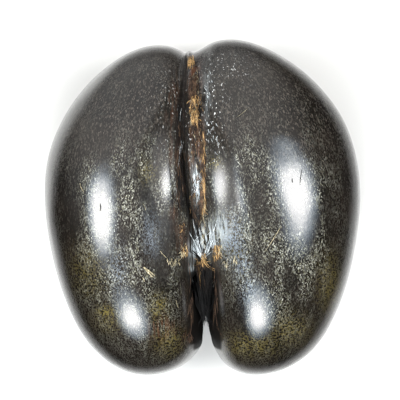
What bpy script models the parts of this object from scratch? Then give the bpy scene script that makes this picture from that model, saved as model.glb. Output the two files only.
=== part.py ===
"""A coco de mer nut: two grown-together lobes, lying on the back with the front up.

Metres, +Z up. +X runs across both lobes, +Y along the seam to the end where the lobes stay joined, and -Y to the
end where they part in a cleft. The origin is the middle of the outline, on the ground.
"""

import math
import random

import bmesh
import bpy
from mathutils import Matrix, Vector
from mathutils.bvhtree import BVHTree

# The nut as a whole: where its seam stands, and the level of its widest outline over the ground
SEAM_X = -0.0029
WIDEST_Z = 0.0735
FULLNESS = 0.03
LOBE_DETAIL = 5
GROUND_CUT = 0.4

# Each lobe from its cleft tip to its joined tip. A list holds the values of a Bezier blend along the lobe: the crown
# line's distance from the seam, the reach from there outward and inward, and the rise to the front and the back.
LEFT_LOBE = {
    "side": -1,
    "ends": (-0.1437, 0.1489),
    "crown": (0.0524, 0.0829, 0.0310),
    "outer": (0.0845, 0.0625, 0.0659, 0.0983, 0.0773),
    "inner": (0.1017, 0.0732, 0.0744, 0.0816, 0.0796, 0.0871),
    "front": (0.118, 0.066, 0.118),
    "back": (0.092, 0.0564, 0.092),
}
RIGHT_LOBE = {
    "side": 1,
    "ends": (-0.1497, 0.1499),
    "crown": (0.0432, 0.0655, 0.0336),
    "outer": (0.0992, 0.0763, 0.0851, 0.0928, 0.1115, 0.0858),
    "inner": (0.0899, 0.0393, 0.0843, 0.0962, 0.0782, 0.0833),
    "front": (0.121, 0.067, 0.119),
    "back": (0.092, 0.0564, 0.092),
}
LOBES = (LEFT_LOBE, RIGHT_LOBE)

# The rounded ridge that fills the seam: its ends, then along it its middle line, its lift over the line where the lobes
# meet, its half width and its half height
RIDGE_ENDS = (-0.046, 0.1375)
RIDGE_LINE = (-0.0055, -0.0060, -0.0085, -0.0010)
RIDGE_LIFT = (-0.004, 0.003, 0.006, 0.002)
RIDGE_HALF_WIDTH = (0.003, 0.0135, 0.0150, 0.0120)
RIDGE_HALF_HEIGHT = (0.005, 0.010, 0.0135, 0.008)
RIDGE_DETAIL = 4

# The cleft between the lobe tips: a blunt inner end that narrows to the gap where the tips part
CLEFT_X = -0.0044
CLEFT_ALONG = (-0.0508, -0.0508, -0.0720, -0.0900, -0.0960, -0.1160)
CLEFT_HALF_WIDTH = (0.0, 0.0145, 0.0115, 0.0095, 0.0005, 0.0018)
CLEFT_STEPS = 14
CLEFT_DEPTH = 0.26

# The bristle tuft: a root plug in the cleft's blunt end, and stiff bristles that sweep toward the gap
PLUG_CENTRE = (-0.0044, -0.0650, 0.084)
PLUG_RADII = (0.0080, 0.0122, 0.046)
PLUG_DETAIL = 3
BRISTLE_COUNT = 52
BRISTLE_ROOT_RADIUS = 0.0010
BRISTLE_TIP_RADIUS = 0.0004
BRISTLE_STEPS = 3
BRISTLE_ROOT_SPREAD = 0.6
BRISTLE_ROOT_DEPTH = 0.82
BRISTLE_TURN = (-10, 115)
BRISTLE_TIPS_Y = (-0.099, -0.084)
BRISTLE_RISE = (0.002, 0.012)
BRISTLE_WALL_SHARE = 0.7
TUFT_SEED = 7

# The husk fibres: a matted cord along the ridge, strands that leave it and return, and a fringe over the cleft
FIBRE_GAP = 0.0006
CORD_ENDS = (-0.044, 0.128)
CORD_LINE = (-0.0030, 0.0005, 0.0045, -0.0030, -0.0012)
CORD_RADIUS = 0.0012
CORD_THINNING = (0.75, 1.0)
CORD_STEPS = 36
STRAND_COUNT = 12
STRAND_RADIUS = 0.0006
STRAND_REACH = (0.0015, 0.0050)
STRAND_LENGTH = (0.014, 0.032)
STRAND_STEPS = 8
FRINGE_COUNT = 8
FRINGE_START_Y = -0.036
FRINGE_SPREAD = 0.009
FRINGE_TIPS_Y = (-0.059, -0.051)
FRINGE_LIFT = 0.0002
FIBRE_SEED = 11
SKY_Z = 0.3


def clear_scene():
    """Start from an empty scene."""
    for item in list(bpy.data.objects):
        bpy.data.objects.remove(item)


def new_collection(name):
    """A collection of this name, linked into the scene."""
    group = bpy.data.collections.new(name)
    bpy.context.scene.collection.children.link(group)
    return group


def make_material(name, colour, roughness):
    """A plain, non-metallic material."""
    material = bpy.data.materials.new(name)
    material.use_nodes = True
    shader = material.node_tree.nodes["Principled BSDF"]
    shader.inputs["Base Color"].default_value = (*colour, 1.0)
    shader.inputs["Roughness"].default_value = roughness
    shader.inputs["Metallic"].default_value = 0.0
    return material


def add_object(name, mesh, group):
    """Link a mesh as an object."""
    item = bpy.data.objects.new(name, mesh)
    group.objects.link(item)
    return item


def finish_object(item, material):
    """Give a finished piece its material and a smooth shading."""
    item.data.materials.clear()
    item.data.materials.append(material)
    item.data.shade_smooth()


def apply_modifiers(item):
    """Replace an object's mesh with its evaluated one."""
    graph = bpy.context.evaluated_depsgraph_get()
    graph.update()
    mesh = bpy.data.meshes.new_from_object(item.evaluated_get(graph))
    item.modifiers.clear()
    item.data = mesh


def cut(item, cutter):
    """Take the cutter's space out of the object."""
    modifier = item.modifiers.new("cut", "BOOLEAN")
    modifier.operation = "DIFFERENCE"
    modifier.object = cutter


def join(item, group):
    """Fuse every object of a collection onto this one, and remove those objects."""
    modifier = item.modifiers.new("join", "BOOLEAN")
    modifier.operation = "UNION"
    modifier.operand_type = "COLLECTION"
    modifier.collection = group
    apply_modifiers(item)
    for other in list(group.objects):
        bpy.data.objects.remove(other)


def blend(values, u):
    """A Bezier blend of the values: the first at u = 0, the last at u = 1."""
    degree = len(values) - 1
    return sum(
        value * math.comb(degree, index) * (1 - u) ** (degree - index) * u ** index
        for index, value in enumerate(values)
    )


def blend_points(points, u):
    """A point of the Bezier curve through these control points."""
    return Vector([blend(values, u) for values in zip(*points)])


def between(low, high, share):
    """The value at this share of the way from low to high."""
    return low + (high - low) * share


def ring_size(u):
    """Size of the ring at station u of a body that is round at both ends."""
    return math.sqrt(max(0.0, 1 - (2 * u - 1) ** 2))


def across_lobe(lobe, u, angle):
    """Distance of a lobe's skin from the seam at station u; angle 0 is the outer side, 90 degrees the front."""
    outer = blend(lobe["outer"], u)
    inner = blend(lobe["inner"], u)
    reach = (outer + inner) / 2 + (outer - inner) / 2 * math.cos(angle)
    full = 1 + FULLNESS * math.sin(2 * angle) ** 2
    return blend(lobe["crown"], u) + ring_size(u) * math.cos(angle) * reach * full


def lobe_height(lobe, u, angle):
    """Height of a lobe's skin over the ground at station u and this angle."""
    front = blend(lobe["front"], u)
    back = blend(lobe["back"], u)
    rise = (front + back) / 2 + (front - back) / 2 * math.sin(angle)
    full = 1 + FULLNESS * math.sin(2 * angle) ** 2
    return WIDEST_Z + ring_size(u) * math.sin(angle) * rise * full


def front_height(x, y):
    """Height of the lobes' front skin over the point (x, y), or the widest level where no lobe is."""
    best = WIDEST_Z
    for lobe in LOBES:
        low_end, high_end = lobe["ends"]
        u = (y - low_end) / (high_end - low_end)
        target = (x - SEAM_X) * lobe["side"]
        if not 0 < u < 1 or not across_lobe(lobe, u, math.pi) < target < across_lobe(lobe, u, 0.0):
            continue
        low, high = 0.0, math.pi
        for _ in range(30):
            middle = (low + high) / 2
            if across_lobe(lobe, u, middle) > target:
                low = middle
            else:
                high = middle
        best = max(best, lobe_height(lobe, u, low))
    return best


def sphere_mesh(name, detail, place):
    """A sphere of triangles, with each vertex moved to the point that place gives for its direction."""
    shape = bmesh.new()
    bmesh.ops.create_icosphere(shape, subdivisions=detail, radius=1.0)
    for vertex in shape.verts:
        vertex.co = place(vertex.co.normalized())
    bmesh.ops.recalc_face_normals(shape, faces=shape.faces)
    mesh = bpy.data.meshes.new(name)
    shape.to_mesh(mesh)
    shape.free()
    return mesh


def lobe_mesh(lobe):
    """One lobe as a closed skin."""
    def place(direction):
        u = (direction.y + 1) / 2
        angle = math.atan2(direction.z, direction.x)
        x = SEAM_X + lobe["side"] * across_lobe(lobe, u, angle)
        return Vector((x, between(*lobe["ends"], u), lobe_height(lobe, u, angle)))

    return sphere_mesh("lobe", LOBE_DETAIL, place)


def ridge_spine(share):
    """A point of the ridge's middle line, along the line where the lobes meet."""
    y = between(*RIDGE_ENDS, math.sin(share * math.pi / 2))
    x = blend(RIDGE_LINE, share)
    return Vector((x, y, front_height(x, y) + blend(RIDGE_LIFT, share)))


def ridge_point(direction):
    """The ridge's skin, bent from a sphere onto its middle line."""
    share = (direction.y + 1) / 2
    step = 0.01
    across = Vector((1, 0, 0))
    along = ridge_spine(min(1.0, share + step)) - ridge_spine(max(0.0, share - step))
    out = across.cross(along).normalized()
    width = blend(RIDGE_HALF_WIDTH, share)
    height = blend(RIDGE_HALF_HEIGHT, share)
    return ridge_spine(share) + across * direction.x * width + out * direction.z * height


def curve_mesh(curve):
    """A curve's surface as a closed mesh, with its caps welded on."""
    item = add_object("curve", curve, bpy.context.scene.collection)
    graph = bpy.context.evaluated_depsgraph_get()
    mesh = bpy.data.meshes.new_from_object(item.evaluated_get(graph))
    bpy.data.objects.remove(item)
    shape = bmesh.new()
    shape.from_mesh(mesh)
    bmesh.ops.remove_doubles(shape, verts=shape.verts, dist=0.00001)
    bmesh.ops.recalc_face_normals(shape, faces=shape.faces)
    shape.to_mesh(mesh)
    shape.free()
    return mesh


def cleft_mesh():
    """The cleft's outline as a slab that runs through the nut from front to back."""
    shares = [step / CLEFT_STEPS for step in range(CLEFT_STEPS + 1)]
    right = [(CLEFT_X + blend(CLEFT_HALF_WIDTH, s), blend(CLEFT_ALONG, s)) for s in shares]
    left = [(2 * CLEFT_X - x, y) for x, y in right[:0:-1]]
    outline = right + left
    curve = bpy.data.curves.new("cleft", "CURVE")
    curve.dimensions = "2D"
    curve.fill_mode = "BOTH"
    curve.extrude = CLEFT_DEPTH / 2
    spline = curve.splines.new("POLY")
    spline.points.add(len(outline) - 1)
    spline.use_cyclic_u = True
    for point, (x, y) in zip(spline.points, outline):
        point.co = (x, y, 0.0, 1.0)
    mesh = curve_mesh(curve)
    mesh.transform(Matrix.Translation((0.0, 0.0, WIDEST_Z)))
    return mesh


def tube_mesh(points, radii):
    """A six-sided strand through the points, with a radius at each, and flat caps."""
    curve = bpy.data.curves.new("strand", "CURVE")
    curve.dimensions = "3D"
    curve.bevel_depth = 1.0
    curve.bevel_resolution = 1
    curve.use_fill_caps = True
    spline = curve.splines.new("POLY")
    spline.points.add(len(points) - 1)
    for place, point, radius in zip(spline.points, points, radii):
        place.co = (*point, 1.0)
        place.radius = radius
    return curve_mesh(curve)


def build_nut(parts, cutters):
    """The shell: both lobes and the seam ridge grown into one, with the cleft open and two flat resting spots."""
    nut = add_object("nut", lobe_mesh(LEFT_LOBE), parts)
    grown = new_collection("grown_together")
    add_object("right_lobe", lobe_mesh(RIGHT_LOBE), grown)
    add_object("ridge", sphere_mesh("ridge", RIDGE_DETAIL, ridge_point), grown)
    join(nut, grown)
    bpy.data.collections.remove(grown)

    cleft = add_object("cleft_cutter", cleft_mesh(), cutters)
    bpy.ops.mesh.primitive_cube_add(size=GROUND_CUT, location=(0.0, 0.0, -GROUND_CUT / 2))
    ground = bpy.context.object
    ground.name = "ground_cutter"
    for group in list(ground.users_collection):
        group.objects.unlink(ground)
    cutters.objects.link(ground)
    for cutter in (cleft, ground):
        cutter.hide_render = True
        cutter.display_type = "WIRE"
        cut(nut, cutter)
    apply_modifiers(nut)
    finish_object(nut, make_material("polished_shell", (0.030, 0.021, 0.014), 0.18))
    return nut


def cleft_half_width(y):
    """Half the cleft's width at the height y."""
    low, high = 0.0, 1.0
    for _ in range(30):
        middle = (low + high) / 2
        if blend(CLEFT_ALONG, middle) > y:
            low = middle
        else:
            high = middle
    return blend(CLEFT_HALF_WIDTH, low)


def build_tuft(parts):
    """The bristle tuft: a root plug and the bristles that grow from it, fused into one body."""
    rng = random.Random(TUFT_SEED)
    centre = Vector(PLUG_CENTRE)
    radii = Vector(PLUG_RADII)
    plug = sphere_mesh("plug", PLUG_DETAIL, lambda direction: centre + direction * radii)
    tuft = add_object("cleft_fibre_tuft", plug, parts)
    bristles = new_collection("bristles")
    for index in range(BRISTLE_COUNT):
        side = rng.uniform(-1, 1)
        turn = math.radians(between(*BRISTLE_TURN, (index + rng.random()) / BRISTLE_COUNT))
        inside = Vector((side * BRISTLE_ROOT_SPREAD, -math.cos(turn), math.sin(turn))) * BRISTLE_ROOT_DEPTH
        root = centre + radii * inside
        tip_y = rng.uniform(*BRISTLE_TIPS_Y)
        rise = rng.uniform(*BRISTLE_RISE)
        belly_y = (root.y + tip_y) / 2
        belly_x = CLEFT_X + side * BRISTLE_WALL_SHARE * cleft_half_width(belly_y)
        tip_x = CLEFT_X + side * BRISTLE_WALL_SHARE * cleft_half_width(tip_y)
        belly = Vector((belly_x, belly_y, root.z + rise))
        tip = Vector((tip_x, tip_y, root.z + rise * rng.random()))
        shares = [step / BRISTLE_STEPS for step in range(BRISTLE_STEPS + 1)]
        points = [blend_points((root, belly, tip), share) for share in shares]
        sizes = [between(BRISTLE_ROOT_RADIUS, BRISTLE_TIP_RADIUS, share) for share in shares]
        add_object("bristle", tube_mesh(points, sizes), bristles)
    join(tuft, bristles)
    bpy.data.collections.remove(bristles)
    finish_object(tuft, make_material("black_bristle", (0.012, 0.010, 0.008), 0.6))


def rest_on(skin, x, y, clearance, held_z):
    """A point over (x, y) that lies this far off the nut's skin, or at held_z where the cleft is open below."""
    hit = skin.ray_cast(Vector((x, y, SKY_Z)), Vector((0, 0, -1)))[0]
    if hit is None or hit.z < WIDEST_Z:
        return Vector((x, y, held_z))
    point = hit + Vector((0, 0, clearance))
    for _ in range(8):
        nearest, _, _, distance = skin.find_nearest(point)
        if distance < clearance:
            point += (point - nearest).normalized() * (clearance - distance)
    return point


def cord_x(y):
    """Where the matted cord runs at the height y."""
    low, high = CORD_ENDS
    return blend(CORD_LINE, (y - low) / (high - low))


def strand_points(skin, rng):
    """A strand that leaves the cord to one side and comes back to it."""
    length = rng.uniform(*STRAND_LENGTH)
    start = rng.uniform(CORD_ENDS[0] + length, CORD_ENDS[1])
    reach = rng.choice((-1, 1)) * rng.uniform(*STRAND_REACH)
    points = []
    for step in range(STRAND_STEPS + 1):
        share = step / STRAND_STEPS
        away = math.sin(math.pi * share)
        y = start - length * share
        clearance = between(CORD_RADIUS, STRAND_RADIUS, away) + FIBRE_GAP
        points.append(rest_on(skin, cord_x(y) + reach * away, y, clearance, 0.0))
    return points


def fringe_points(skin, rng, share_across):
    """A loose end that fans out of the cord's foot and hangs over the cleft's rim."""
    tip_y = rng.uniform(*FRINGE_TIPS_Y)
    points = []
    held_z = 0.0
    for step in range(STRAND_STEPS + 1):
        share = step / STRAND_STEPS
        y = between(FRINGE_START_Y, tip_y, share)
        x = cord_x(FRINGE_START_Y) + share_across * FRINGE_SPREAD * math.sin(share * math.pi / 2)
        clearance = between(CORD_RADIUS, STRAND_RADIUS, min(1.0, 3 * share)) + FIBRE_GAP
        point = rest_on(skin, x, y, clearance, held_z)
        held_z = point.z + FRINGE_LIFT
        points.append(point)
    return points


def build_husk_fibre(parts, nut):
    """The husk fibres along the seam: cord, side strands and fringe, fused into one body just off the nut's skin."""
    rng = random.Random(FIBRE_SEED)
    skin = BVHTree.FromObject(nut, bpy.context.evaluated_depsgraph_get())
    heights = [between(*CORD_ENDS, step / CORD_STEPS) for step in range(CORD_STEPS + 1)]
    cord = [rest_on(skin, cord_x(y), y, CORD_RADIUS + FIBRE_GAP, 0.0) for y in heights]
    sizes = [CORD_RADIUS * rng.uniform(*CORD_THINNING) for _ in cord]
    fibre = add_object("seam_husk_fibre", tube_mesh(cord, sizes), parts)
    strands = new_collection("strands")
    paths = [strand_points(skin, rng) for _ in range(STRAND_COUNT)]
    paths += [fringe_points(skin, rng, between(-1, 1, i / (FRINGE_COUNT - 1))) for i in range(FRINGE_COUNT)]
    for points in paths:
        add_object("strand", tube_mesh(points, [STRAND_RADIUS] * len(points)), strands)
    join(fibre, strands)
    bpy.data.collections.remove(strands)
    finish_object(fibre, make_material("tan_husk_fibre", (0.36, 0.22, 0.10), 0.8))


def main():
    clear_scene()
    parts = new_collection("coco_de_mer_nut")
    cutters = new_collection("cutters")
    nut = build_nut(parts, cutters)
    build_tuft(parts)
    build_husk_fibre(parts, nut)


main()
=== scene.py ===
"""Looks of a coco de mer nut: its polished shell, the bristles in its cleft and the fibres along its seam."""

import math
import random
from contextlib import contextmanager

import bmesh
import bpy
import numpy as np
from mathutils import Matrix, Quaternion, Vector, noise
from mathutils.bvhtree import BVHTree
from mathutils.kdtree import KDTree


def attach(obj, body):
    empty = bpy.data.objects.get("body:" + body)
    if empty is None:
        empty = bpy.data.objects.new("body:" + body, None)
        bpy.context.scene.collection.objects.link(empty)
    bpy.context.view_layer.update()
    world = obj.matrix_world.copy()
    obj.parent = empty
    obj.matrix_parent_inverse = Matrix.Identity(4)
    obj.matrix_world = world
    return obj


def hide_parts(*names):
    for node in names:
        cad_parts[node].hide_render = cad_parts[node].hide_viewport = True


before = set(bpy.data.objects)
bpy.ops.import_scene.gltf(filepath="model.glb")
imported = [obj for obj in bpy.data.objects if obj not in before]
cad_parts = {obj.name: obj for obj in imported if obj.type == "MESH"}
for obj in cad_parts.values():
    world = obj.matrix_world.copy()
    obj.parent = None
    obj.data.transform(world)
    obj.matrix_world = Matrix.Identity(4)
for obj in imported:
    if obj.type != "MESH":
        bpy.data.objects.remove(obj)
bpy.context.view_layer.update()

# The nut's own dimensions in metres: the seam, the level of the widest outline, the fullness of its sides,
# each lobe, the ridge and the cleft
SEAM_X = -0.0029
WIDEST_Z = 0.0735
FULLNESS = 0.03
LEFT_LOBE = {
    "side": -1,
    "ends": (-0.1437, 0.1489),
    "crown": (0.0524, 0.0829, 0.0310),
    "outer": (0.0845, 0.0625, 0.0659, 0.0983, 0.0773),
    "inner": (0.1017, 0.0732, 0.0744, 0.0816, 0.0796, 0.0871),
    "front": (0.118, 0.066, 0.118),
    "back": (0.092, 0.0564, 0.092),
}
RIGHT_LOBE = {
    "side": 1,
    "ends": (-0.1497, 0.1499),
    "crown": (0.0432, 0.0655, 0.0336),
    "outer": (0.0992, 0.0763, 0.0851, 0.0928, 0.1115, 0.0858),
    "inner": (0.0899, 0.0393, 0.0843, 0.0962, 0.0782, 0.0833),
    "front": (0.121, 0.067, 0.119),
    "back": (0.092, 0.0564, 0.092),
}
LOBES = (LEFT_LOBE, RIGHT_LOBE)
RIDGE_ENDS = (-0.046, 0.1375)
RIDGE_LINE = (-0.0055, -0.0040, -0.0075, -0.0004)
RIDGE_LIFT = (-0.004, 0.003, 0.006, 0.002)
RIDGE_HALF_WIDTH = (0.003, 0.0110, 0.0115, 0.0070)
RIDGE_HALF_HEIGHT = (0.005, 0.010, 0.0135, 0.008)
CLEFT_X = -0.0044
CLEFT_ALONG = (-0.0508, -0.0508, -0.0720, -0.0900, -0.0960, -0.1160)
CLEFT_HALF_WIDTH = (0.0, 0.0105, 0.0235, -0.0035, 0.0005, 0.0046)

# How finely the shell is meshed: rings along a lobe and points round it, how they crowd towards the seam,
# then the ridge, the cleft's walls, samples of the cleft's width, halvings of a search, a welding distance
LOBE_RINGS = 190
LOBE_POINTS = 240
CROWDING = 0.55
CROWDED_ANGLE = 2.2
RIDGE_RINGS = 170
RIDGE_POINTS = 64
CLEFT_STEPS = 40
CLEFT_LEVELS = 96
CLEFT_DEPTH = 0.26
CLEFT_SAMPLES = 200
HALVINGS = 30
WELD = 0.00001

# The camera: straight above the nut, turned so that the seam leans to the left as in the photograph
PHOTO_SIDE = 400
METRES_PER_PIXEL = 0.895 / 1000
CAMERA_TURN = math.radians(3.75)
CAMERA_AIM = (-0.0024, 0.0088)
CAMERA_HEIGHT = 1.1
SENSOR = 36.0

# Lines of the seam in the photograph's pixels: the crease left of the ridge and the ridge's right edge
CREASE_ROWS = (50, 81, 101, 132, 152, 173, 193, 202, 213, 224, 236, 242)
CREASE_COLUMNS = (187.0, 185.9, 184.4, 183.9, 183.5, 185.0, 187.0, 188.2, 192.0, 196.0, 200.0, 202.5)
EDGE_ROWS = (55, 80, 100, 140, 170, 200, 220, 240, 258)
EDGE_COLUMNS = (198.0, 199.5, 201.0, 203.0, 204.5, 205.5, 206.0, 205.0, 207.5)

# Softened edges: how far from an edge in metres, and how many rounds. The notch is a place in pixels
SHARP_ANGLE = 0.45
RIDGE_MARGIN = 5.0
CLEFT_TOP = -0.044
CLEFT_REACH = 0.022
CLEFT_SOFTNESS = (0.0035, 14)
RIDGE_SOFTNESS = (0.0050, 40)
CREASE_SOFTNESS = (0.0030, 3)
BACK_SOFTNESS = (0.0060, 25)
NOTCH_PLACES = ((203, 58, 6, 17, 1.0),)
NOTCH_ROUNDS = 150
NOTCH_DEPTH = 0.03

# Relief: noise (size, seed) that its lines wander by, grooves (the line they follow, pixels beside it, share
# of the wander, depth in metres, width and span in pixels), the ridge's cords, unevenness (size, depth, seed)
WANDER = (0.016, 3.0)
RELIEF_TURN = (0.0, 0.25)
GROOVES = (
    ("crease", 0.0, 0.5, 0.0020, 1.3, (56, 236, 12)),
    ("edge", 0.0, 0.4, 0.0006, 1.0, (60, 246, 10)),
    ("crease", -4.0, 1.2, 0.00025, 1.0, (75, 215, 30)),
    ("crease", -7.5, 1.2, 0.00030, 1.2, (75, 215, 30)),
    ("crease", -13.0, 1.2, 0.00018, 1.6, (75, 215, 30)),
)
RIDGE_FADE = (0.0, 2.0)
CORD_PERIOD = 3.4
CORD_DEPTH = 0.00022
CORD_SPAN = (60, 246, 10)
UNEVENNESS = ((0.045, 0.00045, 1.0), (0.014, 0.00009, 2.0))

# The skin's grain, where it shows wear, colour, dullness or painted shade, and where painted sheen and glints
# go: rows and sides in pixels, the cleft's inside in metres, and soft oval places (column, row, half width,
# half height, strength)
GRAIN_GIRTH = 0.075
GRAINS = (("grain", 0.0), ("grain_left", -0.42), ("grain_right", 0.36))
FIELD_DRIFT = (0.03, 5.0)
FRONT_TURN = (-0.05, 0.3)
WORN_ROWS = (112, 192)
WORN_FADE = (235, 335, 0.47)
WORN_DRIFT = 22
WORN_BACK = (0.55, 0.45)
FINE_ABOVE = 0.85
FINE_ELSEWHERE = 0.22
STAINS_AND_SHEEN = {
    "olive": (
        (105, 312, 9, 6, 1.0), (110, 318, 16, 14, 0.45), (158, 308, 9, 13, 0.7), (168, 342, 14, 14, 0.6),
        (330, 285, 12, 28, 0.55), (215, 164, 7, 6, 0.9), (148, 172, 8, 10, 0.6), (250, 345, 30, 12, 0.6),
        (290, 330, 20, 16, 0.5), (230, 240, 20, 26, 0.35), (90, 270, 20, 26, 0.4),
    ),
    "rust": (
        (172, 110, 5, 18, 0.3), (176, 92, 4, 14, 0.25), (196, 150, 7, 26, 0.8), (193, 75, 7, 24, 0.6),
        (174, 212, 4, 8, 0.3), (181, 230, 7, 9, 0.2), (184, 246, 6, 7, 0.5), (190, 300, 4, 22, 0.15),
        (172, 150, 8, 20, 0.25), (162, 328, 12, 10, 0.5), (216, 288, 5, 20, 0.2), (191, 336, 6, 7, 0.6),
    ),
    # pale: worn pale skin and husk residue; on the ridge's tongue (column 197) also a painted highlight,
    # right of the saddle (column 221) a painted reflection haze
    "pale": (
        (202, 240, 7, 10, 1.0), (196, 249, 6, 8, 1.0), (210, 238, 6, 11, 0.9), (197, 181, 3.5, 16, 1.0),
        (192, 270, 3, 8, 0.5), (207, 92, 4, 26, 0.12), (221, 230, 9, 14, 0.4),
    ),
    # painted sheen: a bluish haze of reflected light beside the highlights and below the saddle
    "painted_sheen": (
        (232, 238, 13, 24, 0.8), (242, 264, 9, 18, 0.6), (248, 288, 8, 16, 0.5), (150, 235, 10, 20, 0.35),
        (118, 270, 9, 24, 0.45),
    ),
    # white specks: dust, partly painted glints
    "dust_and_glints": (
        (213, 100, 11, 45, 1.0), (228, 66, 26, 16, 0.6), (190, 125, 32, 60, 0.5), (215, 150, 10, 25, 0.5),
    ),
}
# Painted shade: places where flecks thin out and the skin is painted darker, in the crease, beside the cleft
# and along the outer sides
PAINTED_SHADE_PLACES = (
    (174, 236, 11, 26, 0.85), (196, 215, 7, 18, 0.7), (230, 300, 12, 30, 0.45), (184, 300, 9, 40, 0.6),
    (68, 215, 20, 62, 0.95), (335, 215, 14, 62, 0.5), (220, 275, 10, 14, 0.6), (180, 130, 8, 60, 0.8),
)
# Painted shade on steep sides: flecks fade to this share where the skin turns steep
SHADE_STEEPNESS = (0.50, 0.93)
STEEP_SHADE_SHARE = 0.2
DULL_SIDES = (-40.0, 44.0, 14.0)
DULL_SPAN = (100, 262, 30)
DULL_ROWS = (95.0, 150.0)
DULL_SPREAD = (0.40, 1.0)
GLOSSY_PLACES = (
    (167, 184, 6, 17, 0.85), (219, 186, 8, 20, 0.85), (195, 185, 4, 20, 1.0), (228, 240, 14, 30, 0.2),
)
# Painted shade: where the cleft's walls and the crease left of the ridge are painted near black
CLEFT_SHADE_SIDES = (192.0, 215.0, 8.0)
CLEFT_SHADE_SPAN = (274.0, 343.0, 5.0)
CLEFT_INSIDE_SIDES = (-0.011, 0.011, 0.003)
CLEFT_INSIDE_SPAN = (-0.120, -0.052, 0.004)
CREASE_SHADE = 0.75
CREASE_SHADE_SIDES = (-7.0, 0.5, 3.0)
CREASE_SHADE_SPAN = (58.0, 214.0, 8.0)
CREASE_SHADE_ROWS = (60.0, 84.0, 108.0)
CREASE_SHADE_SPREAD = (0.35, 0.55, 1.0)

# Patterns in the shell's skin: their scale along the grain, their size in metres, the noise's detail and
# roughness. Then the values between which each starts to show and shows in full
SALT = (0.55, 0.00060)
GRIT = (0.4, 0.0008)
STRANDS = (0.10, 0.0021, 3.0, 0.6)
MOTTLE = (0.32, 0.011, 4.0, 0.62)
STROKES = (0.15, 0.0010, 1.0)
FINE_LINES = (0.3, 0.0011, 1.0)
CLOUDS = (0.045, 3.0, 0.55)
PEPPER = (0.0017, 4.0, 0.7)
SPECKS = (0.0014, 2.0)
SPECK_STRETCH = (1.0, 0.45, 1.0)
SALT_SHOWS = (0.60, 0.92)
GRIT_SHOWS = (0.60, 0.95)
STRANDS_SHOW = (0.5, 0.7)
MOTTLE_SHOWS = (0.39, 0.61, 0.10, 1.0)
WEAR_AND_SHADE_SHOWS = (0.0, 1.0, 0.10, 1.0)
STROKES_SHOW = (0.61, 0.70)
CLOUDS_SHOW = (0.3, 0.7)
PEPPER_SHOWS = (0.42, 0.60)
SPECKS_SHOW = (0.65, 0.70)

# Colours of the shell: its ground, strands, grit, flecks, specks (partly painted glints) and the near black
# of painted shade in the cleft and crease, some with their strength, and the soft places, some of them
# painted sheen (field, pattern, the range over which it shows, strength, colour)
GROUND = ((0.0026, 0.0020, 0.0015), (0.0074, 0.0057, 0.0042))
STRAND_BROWN = (0.5, (0.012, 0.009, 0.007))
GRIT_BROWN = (0.043, 0.036, 0.029)
STROKE_STRENGTH = 0.5
FLECK_STRENGTH = 0.9
FLECK_TONES = ((0.076, 0.071, 0.040), (0.280, 0.278, 0.240))
# white of the specks, partly painted glints
SPECK_WHITE = (0.55, 0.55, 0.53)
CLEFT_AND_CREASE_SHADE = (0.97, (0.0022, 0.0018, 0.0015))
SOFT_PLACES = (
    ("olive", "pepper", (0.46, 0.60), 0.9, (0.085, 0.066, 0.014)),
    ("rust", "strands", (0.42, 0.62), 0.8, (0.070, 0.024, 0.008)),
    # pale worn skin, in places a painted highlight and painted reflection
    ("pale", "strands", (0.42, 0.56), 0.9, (0.400, 0.440, 0.450)),
    # painted sheen: bluish haze of reflected light
    ("painted_sheen", "salt", (0.44, 0.62), 0.6, (0.150, 0.180, 0.215)),
)

# Gloss of the shell: roughness from bare skin to flecks and of dull skin, the clear polish, which fades on
# dull skin and in the cleft, and bumps (strength, metres)
FLECK_ROUGHNESS = (0.0, 1.0, 0.32, 0.52)
DULL_ROUGHNESS = 0.62
SHELL_SPECULAR = 0.05
DULL_COAT = (0.0, 1.0, 0.84, 0.08)
CLEFT_COAT = (0.0, 1.0, 1.0, 0.08)
COAT_ROUGHNESS = 0.11
COAT_IOR = 1.52
MOTTLE_BUMP = (0.25, 0.0006)
FLECK_BUMP = (0.5, 0.0003)
FINE_BUMP = (0.15, 0.0003)

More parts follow.
